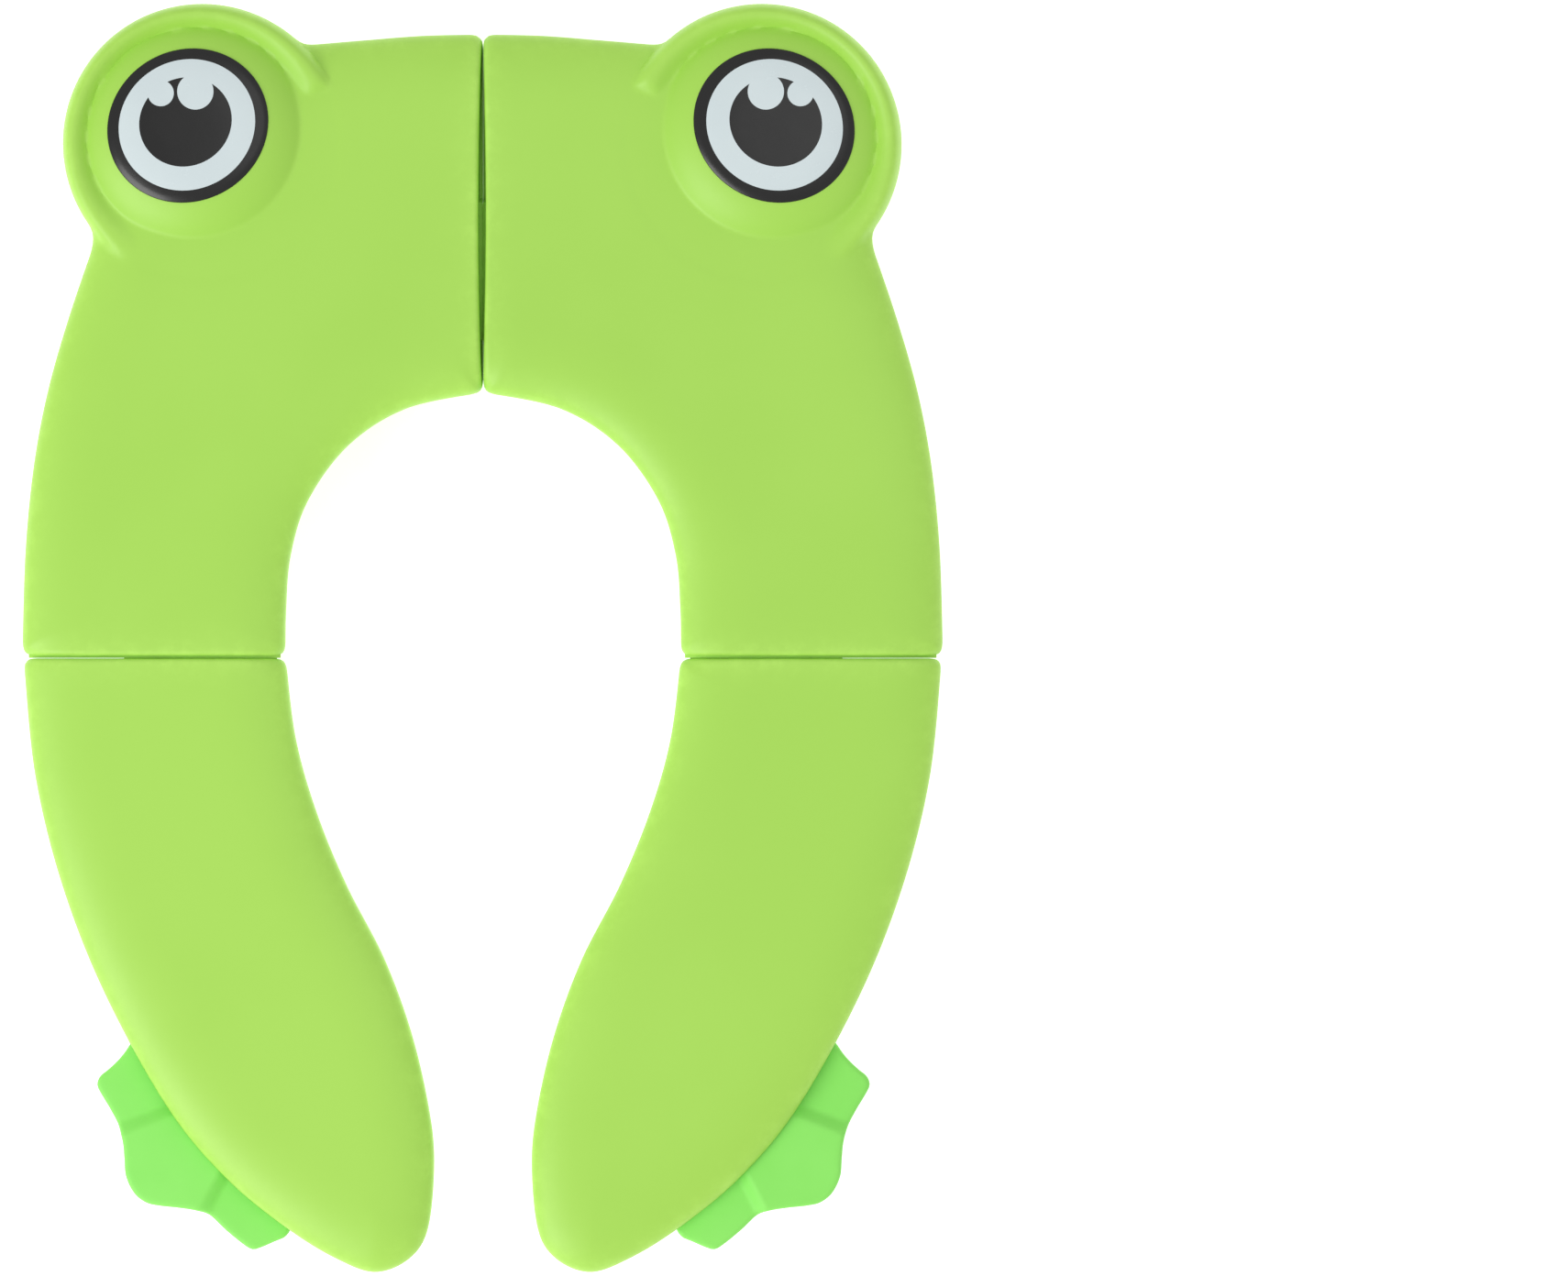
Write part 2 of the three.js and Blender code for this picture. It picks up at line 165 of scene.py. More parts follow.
class Outline:
    # rings of one closed outline at any inset, all with the same number of points
    def __init__(self, plan, spacing, softening=5):
        self.kinds = [kind for kind, _ in plan]
        self.lines = [np.array(line, float) for _, line in plan]
        self.softening = softening
        self.counts = [max(6, int(self.length(line) / spacing)) for line in self.lines]
        self.corners = []
        for before, after in zip([self.lines[-1], *self.lines[:-1]], self.lines):
            a, b = unit(before[-1] - before[-3]), unit(after[2] - after[0])
            self.corners.append(math.atan2(a[0] * b[1] - a[1] * b[0], a @ b))
        self.ring0 = self.ring(0)
        onSeam = [[kind == "seam"] * (n - 1) for kind, n in zip(self.kinds, self.counts)]
        self.seamPoint = np.concatenate(onSeam)

    @staticmethod
    def length(line):
        return np.linalg.norm(np.diff(line, axis=0), axis=1).sum()

    def ring(self, inset):
        points, starts = [], []
        for k, (line, count) in enumerate(zip(self.lines, self.counts)):
            trim = inset * math.tan(self.corners[k] / 2)
            trimEnd = inset * math.tan(self.corners[(k + 1) % len(self.lines)] / 2)
            along = np.concatenate([[0], np.cumsum(np.linalg.norm(np.diff(line, axis=0), axis=1))])
            stops = np.linspace(trim, along[-1] - trimEnd, count)
            tangent = np.gradient(line, along, axis=0)
            tangent /= np.linalg.norm(tangent, axis=1)[:, None]
            inward = np.stack([-tangent[:, 1], tangent[:, 0]], axis=1)
            at = [np.interp(stops, along, column) for column in (*line.T, *inward.T, *tangent.T)]
            # past its ends, a line goes straight on
            over = np.minimum(stops, 0) + np.maximum(stops - along[-1], 0)
            x = at[0] + inset * at[2] + over * at[4]
            y = at[1] + inset * at[3] + over * at[5]
            starts.append(len(points))
            points.extend(np.stack([x, y], axis=1)[:-1])
        points = np.array(points)
        for _ in range(self.softening):  # rounds the corners a little, at every inset alike
            for start in starts:
                near = (start + np.arange(-2, 3)) % len(points)
                following = points[(near + 1) % len(points)]
                points[near] = (points[near - 1] + 2 * points[near] + following) / 4
        return points

    def distance(self, points, kind):
        # shortest way to the outline's free edges or to its seams
        ring = self.ring0
        isSeam = self.seamPoint & np.roll(self.seamPoint, -1)
        picked = np.flatnonzero(isSeam if kind == "seam" else ~isSeam)
        best = np.full(len(points), 1e3)
        for i in picked:
            a, b = ring[i], ring[(i + 1) % len(ring)]
            t = np.clip(((points - a) @ (b - a)) / ((b - a) @ (b - a)), 0, 1)
            best = np.minimum(best, np.linalg.norm(points - a - t[:, None] * (b - a), axis=1))
        return best

    def inside(self, points):
        ring, after = self.ring0, np.roll(self.ring0, -1, axis=0)
        x, y = points[:, :1], points[:, 1:]
        crosses = (ring[:, 1] > y) != (after[:, 1] > y)
        rise = np.where(after[:, 1] == ring[:, 1], 1, after[:, 1] - ring[:, 1])
        edgeX = ring[:, 0] + (y - ring[:, 1]) / rise * (after[:, 0] - ring[:, 0])
        return ((crosses & (x < edgeX)).sum(axis=1) % 2) == 1

    def fill(self, boundary, rings, pitch, margin, rounds=None):
        # triangles inside a boundary ring: near the edge along rings, further in on a grid;
        # rounds gives a centre, a radius and points that take the grid's place there
        low, high = self.ring0.min(axis=0), self.ring0.max(axis=0)
        rows = np.arange(low[1], high[1], pitch * 0.866)
        grid = []
        for k, y in enumerate(rows):
            xs = np.arange(low[0] + (k % 2) * pitch / 2, high[0], pitch)
            grid.append(np.stack([xs, np.full(len(xs), y)], axis=1))
        grid = np.concatenate(grid)
        if rounds is not None:
            centre, radius, instead = rounds
            grid = np.concatenate([grid[np.linalg.norm(grid - centre, axis=1) > radius], instead])
        grid = grid[self.inside(grid)]
        gap = np.minimum(self.distance(grid, "free"), self.distance(grid, "seam"))
        inner = [self.ring(inset) for inset in rings]
        points = np.concatenate([boundary, *inner, grid[gap > margin]])
        loop = list(range(len(boundary)))
        flat = [Vector(p) for p in points]
        made = delaunay_2d_cdt(flat, [], [loop], 1, 1e-5)
        places = np.array([list(v) for v in made[0]])
        order = {source: k for k, sources in enumerate(made[3]) for source in sources}
        return places, [list(face) for face in made[2]], [order[i] for i in loop]


def quarterRound(distance, radius):
    # how far a rounded edge falls below the surface beside it
    reach = np.clip(1 - distance / radius, 0, 1)
    return radius * (1 - np.sqrt(1 - reach ** 2))


def smoothMax(a, b, blend):
    mix = np.clip(0.5 + 0.5 * (a - b) / blend, 0, 1)
    return b + (a - b) * mix + blend * mix * (1 - mix)


def rolledTop(free, seamGap):
    reach = np.clip(free / shell["rollWidth"], 0, 1)
    rise = np.sqrt(1 - (1 - reach) ** shell["rollPower"])
    top = shell["edgeZ"] + (shell["crownZ"] - shell["edgeZ"]) * rise
    return top - quarterRound(seamGap, shell["seamRadius"])


def frontTop(outline, points):
    return rolledTop(outline.distance(points, "free"), outline.distance(points, "seam"))


def rimHeight(x, y, panel):
    # a rounded ridge round the lobe, higher towards the outer rear, with rounded ends
    dx, dy = x - lobe["x"], y - lobe["y"]
    uphill = math.radians(rim["uphill"])
    crest = rim["z"] + rim["slope"] * (dx * math.cos(uphill) + dy * math.sin(uphill))
    turn = (np.degrees(np.arctan2(dy, dx)) + 120) % 360 - 120
    before, after = (rim["from"] - turn) / rim["fromEnd"], (turn - rim["to"]) / rim["toEnd"]
    past = np.clip(np.maximum(before, after), 0, 1)
    crest = rim["foot"] + (crest - rim["foot"]) * np.sqrt(1 - past ** 2)
    out = np.hypot(dx, dy) - rim["radius"]
    outside = panel + (crest - panel) * np.sqrt(np.clip(1 - (out / rim["outer"]) ** 2, 0, 1))
    inward = np.clip(out / rim["inner"], -1, 0) * np.pi / 2
    within = rim["foot"] + (crest - rim["foot"]) * np.cos(inward) ** 1.5
    return np.where(out > 0, outside, within), out


def domeHeight(x, y):
    away = np.hypot(x - dome["x"], y - dome["y"]) / dome["radius"]
    return dome["z"] + dome["rise"] * (1 - np.minimum(away, 1.4) ** dome["power"])


def rearTop(outline, points):
    top = frontTop(outline, points)
    x, y = points.T
    ridge, out = rimHeight(x, y, top)
    raised = smoothMax(top, domeHeight(x, y), dome["blend"])
    raised = smoothMax(raised, ridge, rim["blend"])
    atEdge = (out > rim["outer"] - 0.05) & (outline.distance(points, "free") < rim["edgeBand"])
    return np.where(atEdge, top, raised)


def makeObject(name, verts, faces, materials, faceMaterials=None):
    mesh = bpy.data.meshes.new(name)
    mesh.from_pydata([tuple(v) for v in np.array(verts) * mm], [], faces)
    for material in materials:
        mesh.materials.append(material)
    mesh.polygons.foreach_set("use_smooth", [True] * len(mesh.polygons))
    if faceMaterials is not None:
        mesh.polygons.foreach_set("material_index", faceMaterials)
    mesh.update()
    obj = bpy.data.objects.new(name, mesh)
    bpy.context.scene.collection.objects.link(obj)
    return obj


def stitch(upper, lower):
    # a band of quads between two rings of the same length, facing out
    n = len(upper)
    return [[lower[i], lower[(i + 1) % n], upper[(i + 1) % n], upper[i]] for i in range(n)]


class Solid:
    # verts and faces of a closed body, put together from patches
    def __init__(self):
        self.verts, self.faces = [], []

    def add(self, verts, faces=()):
        start = len(self.verts)
        self.verts.extend([list(v) for v in verts])
        self.faces.extend([[start + i for i in face] for face in faces])
        return list(range(start, start + len(verts)))

    def join(self, *others):
        for other in others:
            self.add(other.verts, other.faces)

    def addMesh(self, mesh):
        self.add([v.co / mm for v in mesh.vertices], [list(p.vertices) for p in mesh.polygons])
        return self

    def mirrored(self):
        twin = Solid()
        twin.verts = [[-x, y, z] for x, y, z in self.verts]
        twin.faces = [face[::-1] for face in self.faces]
        return twin


def withZ(points, z):
    return np.column_stack([points, np.broadcast_to(z, len(points))])


def plate(outline, topOf, bottom, rings, grid, margin, skirt, rounds=None):
    # a top surface and its skirt's rows, as (inset, height above the bottom);
    # the last row stays open
    body = Solid()
    flat, faces, upper = outline.fill(outline.ring0, rings, grid, margin, rounds)
    body.add(withZ(flat, topOf(outline, flat)), faces)
    for inset, lift in skirt:
        ring = outline.ring(inset)
        if lift < shell["ledge"]:
            ring = straightSeam(ring)
        lower = body.add(withZ(ring, bottom + lift))
        body.faces.extend(stitch(upper, lower))
        upper = lower
    return body, upper


def straightSeam(ring):
    # low down, a ledge closes the bow of the middle seam
    x, y = ring.T
    t = (y - seam["front"]) / (seam["back"] - seam["front"])
    bowed = (x < seam["nearX"]) & (t > 0) & (t < 1)
    shift = seam["middleBow"] * np.sin(np.pi * np.clip(t, 0, 1)) + seam["ledgeReach"]
    return np.column_stack((x - np.where(bowed, shift, 0), y))


def closeBelow(body, upper, outline, inset, rings, grid, margin, zOf):
    flat, faces, loop = outline.fill(outline.ring(inset), rings, grid, margin)
    start = len(body.verts)
    body.add(withZ(flat, zOf(flat)), [face[::-1] for face in faces])
    body.faces.extend(stitch(upper, [start + i for i in loop]))
    return body


lobeMesh = {
    "apart": 1.5,  # rows of points in the middle of the dome, and further out
    "fineFrom": 29.6,
    "fineApart": 0.65,
    "end": 38.0,
    "pitch": 1.15,
    "cleared": 38.6,
}


def lobeRounds():
    # rows of points round the dome, closest where it meets the rim
    coarse = np.arange(lobeMesh["apart"], lobeMesh["fineFrom"], lobeMesh["apart"])
    fine = np.arange(lobeMesh["fineFrom"], lobeMesh["end"], lobeMesh["fineApart"])
    points = []
    for radius in (*coarse, *fine):
        count = int(2 * np.pi * radius / lobeMesh["pitch"])
        points.append(arc(dome["x"], dome["y"], radius, 0, 360 - 360 / count, count))
    return (dome["x"], dome["y"]), lobeMesh["cleared"], np.concatenate(points)


def shellBody(outline, topOf, bottomOf, rounds):
    wall = shell["wall"]
    skirt = (
        (0, 1.6), (0, 1.3), (0, 1.0), (0, 0.5), (0.15, 0.15), (0.5, 0), (1.5, 0), (1.85, 0.15),
        (wall, 0.5), (wall, 1.0),
    )
    rings = (0.15, 0.4, 0.8, 1.3, 2.0, 2.9, 4.0, 5.3)
    body, upper = plate(
        outline, topOf, bottomOf(outline.ring0), rings, shell["grid"], shell["margin"], skirt,
        rounds,
    )
    return closeBelow(
        body, upper, outline, wall, (shell["roofRing"],), shell["roofGrid"], shell["roofMargin"],
        lambda flat: topOf(outline, flat) - wall,
    )


def lofted(rings, hollow=False):
    # a closed body through rings of equal count; a hollow one comes back to its first ring
    body = Solid()
    loops = [body.add(ring) for ring in rings]
    if hollow:
        loops.append(loops[0])
    else:
        body.faces.extend([loops[0], loops[-1][::-1]])
    for upper, lower in zip(loops, loops[1:]):
        body.faces.extend(stitch(upper, lower))
    corners = np.array(body.verts)
    volume = 0
    for face in body.faces:
        a = corners[face[0]]
        for i in range(1, len(face) - 1):
            volume += a @ np.cross(corners[face[i]], corners[face[i + 1]])
    if volume < 0:
        body.faces = [face[::-1] for face in body.faces]
    return body


def extruded(section, start, end, axis, middle, bore=0, bevel=0.25):
    # a prism along X or Y from a section of (across, z) points round its middle, with softened ends
    section = np.array(section, float)
    turn = np.arctan2(section[:, 1], section[:, 0])
    size = np.linalg.norm(section, axis=1)

    def ring(place, radius):
        across, z = middle[0] + radius * np.cos(turn), middle[1] + radius * np.sin(turn)
        fixed = np.full(len(section), place)
        return np.column_stack((fixed, across, z) if axis == "x" else (across, fixed, z))

    rings = [
        ring(start, size - bevel), ring(start + bevel, size),
        ring(end - bevel, size), ring(end, size - bevel),
    ]
    if bore:
        rings.extend([ring(end, bore), ring(start, bore)])
    return lofted(rings, hollow=bool(bore))


def turned(x, y, profile, sides=40):
    # a round body standing at x, y, from (radius, z) pairs
    turn = np.linspace(0, 2 * np.pi, sides, endpoint=False)
    return lofted([
        np.column_stack([x + r * np.cos(turn), y + r * np.sin(turn), np.full(sides, z)])
        for r, z in profile
    ])


class NodeTree:
    # a geometry node tree with named inputs
    def __init__(self, name, inputs):
        self.tree = bpy.data.node_groups.new(name, "GeometryNodeTree")
        for title, kind in inputs.items():
            self.tree.interface.new_socket(title, in_out="INPUT", socket_type="NodeSocket" + kind)
        geometry = "NodeSocketGeometry"
        self.tree.interface.new_socket("Geometry", in_out="OUTPUT", socket_type=geometry)
        self.inputs = self.tree.nodes.new("NodeGroupInput").outputs

    def node(self, kind, settings=None, **sockets):
        made = self.tree.nodes.new(kind)
        for key, value in (settings or {}).items():
            setattr(made, key, value)
        for title, value in sockets.items():
            socket = made.inputs[title.replace("_", " ")]
            if isinstance(value, bpy.types.NodeSocket):
                self.tree.links.new(value, socket)
            else:
                socket.default_value = value
        return made.outputs[0]

    def finish(self, geometry):
        real = self.node("GeometryNodeRealizeInstances", Geometry=geometry)
        done = self.node("GeometryNodeSetMaterial", Geometry=real, Material=self.inputs["Finish"])
        self.tree.links.new(done, self.tree.nodes.new("NodeGroupOutput").inputs["Geometry"])
        return self.tree


def rowTree():
    # copies of one piece, a step apart
    tree = NodeTree("pieces in a row", {
        "Piece": "Object", "Count": "Int", "Step": "Vector", "Finish": "Material",
    })
    info = tree.node("GeometryNodeObjectInfo", Object=tree.inputs["Piece"]).node
    line = tree.node("GeometryNodeMeshLine", Count=tree.inputs["Count"], Offset=tree.inputs["Step"])
    piece = info.outputs["Geometry"]
    return tree.finish(tree.node("GeometryNodeInstanceOnPoints", Points=line, Instance=piece))


def ribTree():
    # a bar of one section along each line of a mesh
    tree = NodeTree("ribs under a shell", {
        "Lines": "Object", "Thick": "Float", "Deep": "Float", "Finish": "Material",
    })
    info = tree.node("GeometryNodeObjectInfo", Object=tree.inputs["Lines"]).node
    curve = tree.node("GeometryNodeMeshToCurve", Mesh=info.outputs["Geometry"])
    upright = tree.node("GeometryNodeSetCurveNormal", {"mode": "Z_UP"}, Curve=curve)
    section = tree.node(
        "GeometryNodeCurvePrimitiveQuadrilateral",
        Width=tree.inputs["Thick"], Height=tree.inputs["Deep"],
    )
    sockets = {"Curve": upright, "Profile_Curve": section, "Fill_Caps": True}
    return tree.finish(tree.node("GeometryNodeCurveToMesh", **sockets))


def nubTree():
    # small round nubs on a round field
    tree = NodeTree("grip nubs", {
        "Field": "Float", "Across": "Int", "Nub": "Float", "Place": "Vector", "Finish": "Material",
    })
    grid = tree.node(
        "GeometryNodeMeshGrid", Size_X=tree.inputs["Field"], Size_Y=tree.inputs["Field"],
        Vertices_X=tree.inputs["Across"], Vertices_Y=tree.inputs["Across"],
    )
    position = tree.node("GeometryNodeInputPosition")
    away = tree.node("ShaderNodeVectorMath", {"operation": "LENGTH"}, Vector=position)
    reach = away.node.outputs["Value"]
    limit = tree.tree.nodes.new("ShaderNodeMath")
    limit.operation = "MULTIPLY"
    tree.tree.links.new(tree.inputs["Field"], limit.inputs[0])
    limit.inputs[1].default_value = 0.5
    outside = tree.tree.nodes.new("ShaderNodeMath")
    outside.operation = "GREATER_THAN"
    tree.tree.links.new(reach, outside.inputs[0])
    tree.tree.links.new(limit.outputs[0], outside.inputs[1])
    field = tree.node("GeometryNodeDeleteGeometry", Geometry=grid, Selection=outside.outputs[0])
    nub = tree.node("GeometryNodeMeshUVSphere", Segments=10, Rings=6, Radius=tree.inputs["Nub"])
    spread = tree.node("GeometryNodeInstanceOnPoints", Points=field, Instance=nub)
    moved = tree.node("GeometryNodeTransform", Geometry=spread, Translation=tree.inputs["Place"])
    return tree.finish(moved)


def grown(tree, **values):
    # runs a tree on an empty mesh and gives the plain mesh that it makes
    holder = bpy.data.objects.new("holder", bpy.data.meshes.new("holder"))
    bpy.context.scene.collection.objects.link(holder)
    modifier = holder.modifiers.new("nodes", "NODES")
    modifier.node_group = tree
    for item in tree.interface.items_tree:
        if item.in_out == "INPUT":
            modifier[item.identifier] = values[item.name]
    depsgraph = bpy.context.evaluated_depsgraph_get()
    made = bpy.data.meshes.new_from_object(holder.evaluated_get(depsgraph), depsgraph=depsgraph)
    bpy.data.objects.remove(holder)
    return made


print("outlines and mesh tools ready")


class Value:
    # a shader socket that adds its Math nodes as it is used in sums
    def __init__(self, finish, socket):
        self.finish, self.socket = finish, socket

    def math(self, operation, *others):
        return self.finish.node("ShaderNodeMath", {"operation": operation}, [self, *others])

    def __add__(self, other):
        return self.math("ADD", other)

    def __mul__(self, other):
        return self.math("MULTIPLY", other)

    __radd__, __rmul__ = __add__, __mul__

    def above(self, low, high):
        # 0 below low, 1 above high, smooth in between
        settings = {"interpolation_type": "SMOOTHSTEP"}
        return self.finish.node("ShaderNodeMapRange", settings, {0: self, 1: low, 2: high})


class Finish:
    # one material round a Principled shader
    def __init__(self, name, color, roughness, **constants):
        self.material = bpy.data.materials.new(name)
        self.material.use_nodes = True
        self.tree = self.material.node_tree
        self.shader = self.tree.nodes["Principled BSDF"]
        self.material.diffuse_color = (*color, 1)
        self.shader.inputs["Base Color"].default_value = (*color, 1)
        self.shader.inputs["Roughness"].default_value = roughness
        for title, value in constants.items():
            self.shader.inputs[title.replace("_", " ")].default_value = value
        self.place = self.node("ShaderNodeTexCoord", output="Object")

    def node(self, kind, settings=None, sockets=(), output=0):
        made = self.tree.nodes.new(kind)
        for key, value in (settings or {}).items():
            setattr(made, key, value)
        pairs = sockets.items() if isinstance(sockets, dict) else enumerate(sockets)
        for key, value in pairs:
            if isinstance(value, Value):
                self.tree.links.new(value.socket, made.inputs[key])
            else:
                made.inputs[key].default_value = value
        return Value(self, made.outputs[output])

    def feed(self, title, value):
        self.tree.links.new(value.socket, self.shader.inputs[title])

    def noise(self, size, detail=2.0, rough=0.5, stretch=(1, 1, 1)):
        # size is that of the pattern's patches, in millimetres
        place = self.node("ShaderNodeMapping", None, {"Vector": self.place, "Scale": stretch})
        sockets = {"Vector": place, "Scale": 1 / (size * mm), "Detail": detail, "Roughness": rough}
        return self.node("ShaderNodeTexNoise", None, sockets)

    def mix(self, amount, a, b):
        a, b = [(*c, 1) if isinstance(c, tuple) else c for c in (a, b)]
        settings = {"data_type": "RGBA"}
        return self.node("ShaderNodeMix", settings, {"Factor": amount, "A": a, "B": b}, "Result")

    def bump(self, height, depth, strength=1.0):
        # depth is the height of the relief in millimetres
        sockets = {"Height": height, "Distance": depth * mm, "Strength": strength}
        self.feed("Normal", self.node("ShaderNodeBump", None, sockets))


print("finish tools ready")


def linear(red, green, blue):
    # a colour picked on a screen, as the shader's own numbers
    shares = (red / 255, green / 255, blue / 255)
    return tuple(c / 12.92 if c < 0.04045 else ((c + 0.055) / 1.055) ** 2.4 for c in shares)


def leafGreenShell():
    look = {
        "color": linear(166, 217, 84),
        "pale": linear(196, 246, 112),  # where edges are worn, and where a painted highlight lightens the rounded edges
        "deep": linear(161, 213, 78),
        "roughness": 0.4,
        "rubbed": 0.2,
    }
    finish = Finish("leaf green moulded shell", look["color"], look["roughness"])
    clouds = finish.noise(70, detail=3)
    speckle = finish.noise(2.2, detail=4, rough=0.6)
    # edges turn paler partly from real wear and partly from a painted highlight on the rounded
    # edges; the scuffs also roughen them
    rub = finish.node("ShaderNodeAttribute", {"attribute_name": "rub"}, output="Fac")
    scuff = finish.noise(5.0, detail=6, rough=0.7).above(0.42, 0.68)
    tone = finish.mix(clouds.above(0.35, 0.65) * 0.5 + speckle * 0.12, look["color"], look["deep"])
    finish.feed("Base Color", finish.mix(rub * (look["rubbed"] + scuff * 0.3), tone, look["pale"]))
    uneven = look["roughness"] + clouds * 0.05 + speckle * 0.05
    finish.feed("Roughness", uneven + rub * scuff * 0.12)
    grain = finish.noise(0.55, detail=3, rough=0.6)
    finish.bump(grain * 0.02 + finish.noise(18, detail=1) * 0.05, 1.0, 0.5)
    return finish.material


def linkGreenPlastic():
    look = {"color": linear(146, 209, 69), "dark": linear(120, 178, 62), "roughness": 0.42}
    finish = Finish("yellow green link plastic", look["color"], look["roughness"])
    streaks = finish.noise(6, detail=4, stretch=(1, 0.15, 1))
    finish.feed("Base Color", finish.mix(streaks.above(0.4, 0.75), look["color"], look["dark"]))
    finish.feed("Roughness", look["roughness"] + streaks * 0.12)
    finish.bump(finish.noise(0.6, detail=3), 0.02)
    return finish.material


def mintSoftFoot():
    look = {"color": linear(134, 226, 92), "pale": linear(142, 232, 101), "roughness": 0.5}
    finish = Finish("mint soft rubber foot", look["color"], look["roughness"])
    clouds = finish.noise(30, detail=3)
    finish.feed("Base Color", finish.mix(clouds.above(0.3, 0.7) * 0.7, look["color"], look["pale"]))
    finish.feed("Roughness", look["roughness"] + finish.noise(3, detail=4) * 0.14)
    finish.bump(finish.noise(0.45, detail=4, rough=0.65), 0.025)
    return finish.material


def milkySoleSilicone():
    look = {"color": linear(228, 236, 222), "dust": linear(198, 204, 190), "roughness": 0.52}
    finish = Finish("milky sole silicone", look["color"], look["roughness"])
    dust = finish.noise(3.5, detail=5, rough=0.7)
    finish.feed("Base Color", finish.mix(dust.above(0.5, 0.8) * 0.6, look["color"], look["dust"]))
    finish.feed("Roughness", look["roughness"] + dust * 0.2)
    finish.bump(finish.noise(0.5, detail=3), 0.02)
    return finish.material


def drawnSteelPin(axis):
    look = {"color": linear(190, 193, 197), "dull": linear(150, 152, 154), "roughness": 0.26}
    finish = Finish("drawn steel pin along " + axis, look["color"], look["roughness"], Metallic=1.0)
    stretch = (0.04, 1, 1) if axis == "x" else (1, 0.04, 1)
    streaks = finish.noise(0.4, detail=4, stretch=stretch)
    finish.feed("Base Color", finish.mix(streaks.above(0.4, 0.7), look["color"], look["dull"]))
    finish.feed("Roughness", look["roughness"] + streaks * 0.2)
    finish.bump(streaks, 0.008)
    return finish.material


def glossyPrint(name, color, worn):
    finish = Finish(name, color, 0.2, Coat_Weight=0.05, Coat_Roughness=0.12)
    clouds = finish.noise(14, detail=4)
    finish.feed("Base Color", finish.mix(clouds.above(0.35, 0.75) * 0.5, color, worn))
    finish.feed("Roughness", 0.2 + finish.noise(4, detail=5, rough=0.7) * 0.12)
    finish.bump(finish.noise(9, detail=2), 0.03)
    return finish.material


def paleStudioFloor():
    look = {
        "color": (0.95, 0.95, 0.945),
        "shade": (0.92, 0.92, 0.915),
        "roughness": 0.75,
        "glow": 0.6,
    }
    finish = Finish("pale studio paper", look["color"], look["roughness"])
    fibre = finish.noise(5, detail=5, rough=0.7)
    finish.feed("Base Color", finish.mix(fibre.above(0.3, 0.7), look["color"], look["shade"]))
    finish.feed("Roughness", look["roughness"] + fibre * 0.1)
    finish.bump(fibre, 0.05, 0.4)
    finish.shader.inputs["Emission Color"].default_value = (1, 1, 1, 1)
    finish.shader.inputs["Emission Strength"].default_value = look["glow"]
    return finish.material


shellGreen = leafGreenShell()
linkGreen = linkGreenPlastic()
footMint = mintSoftFoot()
soleMilky = milkySoleSilicone()
steelAlongX = drawnSteelPin("x")
steelAlongY = drawnSteelPin("y")
printBlack = glossyPrint("glossy black print", linear(6, 6, 6), linear(16, 16, 15))
printWhite = glossyPrint("glossy white print", linear(207, 219, 221), linear(202, 214, 217))
print("finishes ready")


def shown(name, solid, materials, body, node, slot, faceMaterials=None, rub=None):
    piece = makeObject(name, solid.verts, solid.faces, materials, faceMaterials)
    piece.data.set_sharp_from_angle(angle=math.radians(sharpAngle))
    # per-point edge lightening: wear, plus a painted highlight along the edges
    if rub is not None:
        layer = piece.data.attributes.new("rub", "FLOAT", "POINT")
        layer.data.foreach_set("value", np.asarray(rub, dtype=np.float32))
    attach(piece, body)
    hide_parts(node)


def bothSides(part, solid, materials, bodyOf, node, slot, **more):
    # part, body and node names hold a star where the side's name goes
    for word, half in (("right", solid), ("left", solid.mirrored())):
        names = [text.replace("*", word) for text in (part, bodyOf, node)]
        shown(names[0], half, materials, names[1], names[2], slot, **more)


sharpAngle = 50.0  # edges that bend more than this many degrees stay crisp
hinge = {
    "y": joints["right_fold"]["pos_m"][1] / mm,
    "z": joints["right_fold"]["pos_m"][2] / mm,
    "barrel": 2.2,
    "bore": 1.35,
    "pin": 1.0,
    "inner": 62.0,
    "outer": 108.0,
    "knuckles": 5,
    "gap": 0.3,
    "reach": 3.2,
    "notchZ": 5.3,
    "notchReach": 3.2,
    "pinShort": 0.5,
}
spine = {
    "x": joints["spine_right"]["pos_m"][0] / mm,
    "z": joints["spine_right"]["pos_m"][2] / mm,
    "front": 89.4,
    "back": 130.9,
    "barrel": 2.2,
    "rungs": 6,
    "rung": 2.0,
    "floor": 1.6,
    "lug": 3.0,
    "lugRound": 2.4,
    "lugSunk": 1.2,
    "notchZ": 5.4,
    "notchX": 4.0,
    "notchRoom": 0.8,
    "chamfer": 0.9,
    "webGap": 0.15,
    "floorShort": 0.3,
    "rungShort": 0.2,
    "pinShort": 0.2,
}
rib = {"thick": 1.6, "deep": 3.2, "sunk": 0.7, "step": 3.0, "clear": 3.2, "longest": 240}
boss = {"radius": 6.0, "bottom": 3.02, "fillet": 1.2}
rearPads = [(35, 150), (108, 30)]
frontPads = [(50, -125), (100, -90)]
knucklePitch = (hinge["outer"] - hinge["inner"]) / hinge["knuckles"]


def rayPolygon(corners, step=7.5):
    # the points of a polygon on rays from its middle, its corners among them
    corners = np.array(corners, float)
    turns = set(np.round(np.degrees(np.arctan2(corners[:, 1], corners[:, 0])) % 360, 4))
    turns |= set(np.arange(0, 360, step))
    points = []
    for turn in sorted(turns):
        ray = np.array([math.cos(math.radians(turn)), math.sin(math.radians(turn))])
        best = None
        for a, b in zip(corners, np.roll(corners, -1, axis=0)):
            d = b - a
            cross = ray[0] * d[1] - ray[1] * d[0]
            if abs(cross) < 1e-9:
                continue
            reach = (a[0] * d[1] - a[1] * d[0]) / cross
            share = (a[0] * ray[1] - a[1] * ray[0]) / cross
            if reach > 0 and -1e-4 <= share <= 1 + 1e-4:
                best = reach if best is None else max(best, reach)
        points.append(ray * best)
    return points


